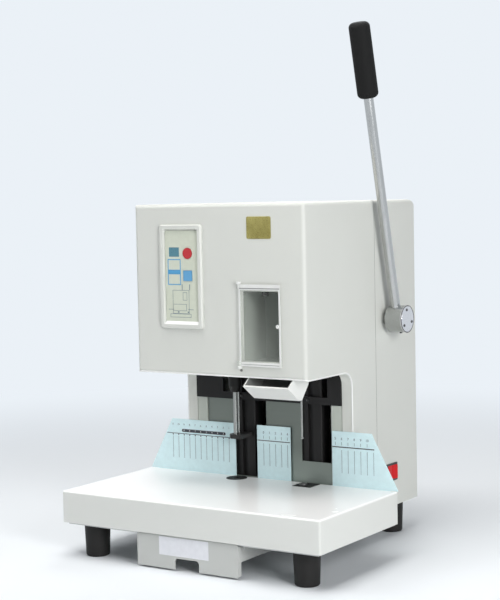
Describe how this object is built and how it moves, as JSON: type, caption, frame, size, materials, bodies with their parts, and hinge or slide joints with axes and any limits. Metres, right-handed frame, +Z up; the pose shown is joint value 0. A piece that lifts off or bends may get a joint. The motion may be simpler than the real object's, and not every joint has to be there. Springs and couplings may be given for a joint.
{
  "type": "desk binding machine",
  "caption": "Desk paper binding machine: lever-fed hollow drill and hot rivet ram over a table with scale plates, chip drawer, clear tube door, key panel and rocker switch.",
  "frame": {"origin": "on the floor, under the middle of the machine's width and depth", "axes": "+Z up, front of the machine towards -Y, lever on +X"},
  "size_m": [0.415, 0.405, 0.7259],
  "materials": {
    "shell_paint": "satin powder coat",
    "table_paint": "satin powder coat",
    "frame_paint": "satin paint",
    "zinc_steel": "zinc plated",
    "black_paint": "satin black",
    "plate_blue": "satin print",
    "rubber_black": "moulded",
    "grip_foam": "foam",
    "chrome": "polished",
    "bright_steel": "ground",
    "dark_steel": "oiled",
    "bronze": "turned",
    "black_plastic": "moulded",
    "red_plastic": "moulded",
    "blue_plastic": "printed",
    "overlay": "printed film",
    "display": "tinted",
    "clear": "clear acrylic",
    "board_green": "lacquer",
    "motor_case": "painted"
  },
  "bodies": {
    "base": {"front_shell": "shell_paint", "rear_shell": "shell_paint", "panel_frame": "shell_paint", "hinge_pegs": "shell_paint", "table_top": "table_paint", "catch_tray": "table_paint", "side_frame_left": "frame_paint", "side_frame_right": "frame_paint", "drawer_runners": "frame_paint", "tube_box": "frame_paint", "base_plate": "zinc_steel", "front_panel": "zinc_steel", "chip_tube": "zinc_steel", "stop_bar": "zinc_steel", "cross_plate": "black_paint", "drill_guide": "black_paint", "rivet_guide": "black_paint", "top_bridge": "black_paint", "scale_plates": "plate_blue", "feet": "rubber_black", "drill_spring": "bright_steel", "rivet_spring": "bright_steel", "lower_die": "dark_steel", "shaft_bushes": "bronze", "cutting_ring": "black_plastic", "die_insert": "black_plastic", "switch_bezel": "black_plastic", "power_inlet": "black_plastic", "panel_overlay": "overlay", "display_window": "display", "control_board": "board_green"},
    "lever": {"lever_shaft": "bright_steel", "drill_pinion": "dark_steel", "rivet_pinion": "dark_steel", "stop_collar": "dark_steel", "lever_hub": "chrome", "hub_cap": "chrome", "lever_rod": "chrome", "lever_grip": "grip_foam"},
    "drill_carriage": {"drill_slide": "black_paint", "drill_rack": "dark_steel", "drill_motor": "motor_case", "drive_belt": "rubber_black", "press_spring": "bright_steel"},
    "spindle": {"spindle_tube": "bright_steel", "spindle_pulley": "bright_steel", "chuck": "black_paint", "drill_bit": "bright_steel"},
    "motor_shaft": {"motor_pulley": "bright_steel"},
    "press": {"press_foot": "black_paint", "press_rod": "bright_steel"},
    "rivet_carriage": {"rivet_slide": "black_paint", "rivet_rack": "dark_steel", "rivet_heater": "dark_steel", "rivet_ram": "dark_steel"},
    "door": {"door_pane": "clear"},
    "chip_drawer": {"drawer": "frame_paint"},
    "switch_rocker": {"rocker": "red_plastic"},
    "start_key": {"red_key": "red_plastic"},
    "mode_key": {"blue_key": "blue_plastic"}
  },
  "joints": [
    {"name": "lever_turn", "type": "hinge", "parent": "base", "child": "lever", "pos_m": [0, 0.1063, 0.3168], "axis": [1, 0, 0], "range_deg": [0, 90]},
    {"name": "drill_feed", "type": "slide", "parent": "base", "child": "drill_carriage", "axis": [0, 0, -1], "range_m": [0, 0.0567], "stiffness_N_per_m": 700, "springref_m": -0.11, "deforming": ["drill_spring"]},
    {"name": "rivet_feed", "type": "slide", "parent": "base", "child": "rivet_carriage", "axis": [0, 0, -1], "range_m": [0, 0.0567], "stiffness_N_per_m": 700, "springref_m": -0.11, "deforming": ["rivet_spring"]},
    {"name": "spindle_spin", "type": "hinge", "parent": "drill_carriage", "child": "spindle", "pos_m": [-0.043, -0.0125, 0.092], "axis": [0, 0, 1], "continuous": true},
    {"name": "motor_spin", "type": "hinge", "parent": "drill_carriage", "child": "motor_shaft", "pos_m": [-0.043, -0.0645, 0.092], "axis": [0, 0, 1], "continuous": true},
    {"name": "press_lift", "type": "slide", "parent": "drill_carriage", "child": "press", "axis": [0, 0, 1], "range_m": [0, 0.047], "stiffness_N_per_m": 120, "springref_m": -0.06, "deforming": ["press_spring"]},
    {"name": "door_swing", "type": "hinge", "parent": "base", "child": "door", "pos_m": [0.0358, -0.1167, 0.3112], "axis": [0, 0, -1], "range_deg": [0, 105]},
    {"name": "drawer_pull", "type": "slide", "parent": "base", "child": "chip_drawer", "axis": [0, -1, 0], "range_m": [0, 0.15]},
    {"name": "switch_rock", "type": "hinge", "parent": "base", "child": "switch_rocker", "pos_m": [0.136, 0.117, 0.0943], "axis": [0, 0, 1], "range_deg": [0, 18]},
    {"name": "start_press", "type": "slide", "parent": "base", "child": "start_key", "axis": [0, 1, 0], "range_m": [0, 0.0005], "stiffness_N_per_m": 800, "springref_m": -0.0002},
    {"name": "mode_press", "type": "slide", "parent": "base", "child": "mode_key", "axis": [0, 1, 0], "range_m": [0, 0.0005], "stiffness_N_per_m": 800, "springref_m": -0.0002}
  ],
  "couplings": [
    {"joint": "drill_feed", "follows": "lever_turn", "m_per_rad": 0.036},
    {"joint": "rivet_feed", "follows": "lever_turn", "m_per_rad": 0.036},
    {"joint": "motor_spin", "follows": "spindle_spin", "ratio": 1.3571}
  ]
}
